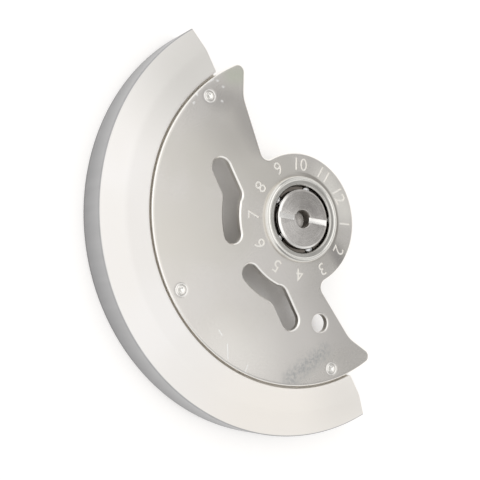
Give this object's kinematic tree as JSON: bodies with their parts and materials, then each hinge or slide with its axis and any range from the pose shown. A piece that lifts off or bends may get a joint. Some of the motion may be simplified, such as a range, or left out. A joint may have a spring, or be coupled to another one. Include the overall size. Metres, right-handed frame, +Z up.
{
  "type": "automatic watch rotor",
  "caption": "Half-disc oscillating weight with a heavy bevelled rim on a slotted ball bearing core, for the automatic winding of a watch movement.",
  "frame": {"origin": "on the spin axis at the seat, the underside of the bearing's inner race", "axes": "+Z up out of the rotor's face along the spin axis, the heavy rim towards -Y"},
  "size_m": [0.0262, 0.0174, 0.0029],
  "materials": {
    "plate_nickel": "satin nickel plate with light wear",
    "rim_alloy": "bright satin nickel on heavy alloy",
    "race_steel": "fine turned, bright",
    "core_steel": "turned with concentric marks",
    "cage_dark": "dark bronze, dull",
    "ball_steel": "polished",
    "rivet_steel": "set and dimpled",
    "pinion_steel": "cut teeth, satin"
  },
  "bodies": {
    "inner_race": {"bearing_core": "core_steel", "lower_cone_ring": "race_steel"},
    "rotor": {"rotor_plate": "plate_nickel", "weight_segment": "rim_alloy", "weight_rivet_1": "rivet_steel", "weight_rivet_2": "rivet_steel", "weight_rivet_3": "rivet_steel", "bearing_outer_ring": "race_steel", "drive_pinion": "pinion_steel"},
    "cage": {"ball_cage": "cage_dark"},
    "ball_1": {"bearing_ball_1": "ball_steel"},
    "ball_2": {"bearing_ball_2": "ball_steel"},
    "ball_3": {"bearing_ball_3": "ball_steel"},
    "ball_4": {"bearing_ball_4": "ball_steel"},
    "ball_5": {"bearing_ball_5": "ball_steel"}
  },
  "joints": [
    {"name": "rotor_spin", "type": "hinge", "parent": "inner_race", "child": "rotor", "pos_m": [0, 0, 0.0009], "axis": [0, 0, 1], "continuous": true},
    {"name": "cage_spin", "type": "hinge", "parent": "inner_race", "child": "cage", "pos_m": [0, 0, 0.0009], "axis": [0, 0, 1], "continuous": true},
    {"name": "ball_1_spin", "type": "hinge", "parent": "cage", "child": "ball_1", "pos_m": [0.00195, -0.00027, 0.0009], "axis": [0, 0, 1], "continuous": true},
    {"name": "ball_2_spin", "type": "hinge", "parent": "cage", "child": "ball_2", "pos_m": [0.00086, 0.00177, 0.0009], "axis": [0, 0, 1], "continuous": true},
    {"name": "ball_3_spin", "type": "hinge", "parent": "cage", "child": "ball_3", "pos_m": [-0.00141, 0.00137, 0.0009], "axis": [0, 0, 1], "continuous": true},
    {"name": "ball_4_spin", "type": "hinge", "parent": "cage", "child": "ball_4", "pos_m": [-0.00173, -0.00092, 0.0009], "axis": [0, 0, 1], "continuous": true},
    {"name": "ball_5_spin", "type": "hinge", "parent": "cage", "child": "ball_5", "pos_m": [0.00034, -0.00194, 0.0009], "axis": [0, 0, 1], "continuous": true}
  ],
  "couplings": [
    {"joint": "cage_spin", "follows": "rotor_spin", "ratio": 0.55758},
    {"joint": "ball_1_spin", "follows": "rotor_spin", "ratio": 4.2845},
    {"joint": "ball_2_spin", "follows": "rotor_spin", "ratio": 4.2845},
    {"joint": "ball_3_spin", "follows": "rotor_spin", "ratio": 4.2845},
    {"joint": "ball_4_spin", "follows": "rotor_spin", "ratio": 4.2845},
    {"joint": "ball_5_spin", "follows": "rotor_spin", "ratio": 4.2845}
  ]
}
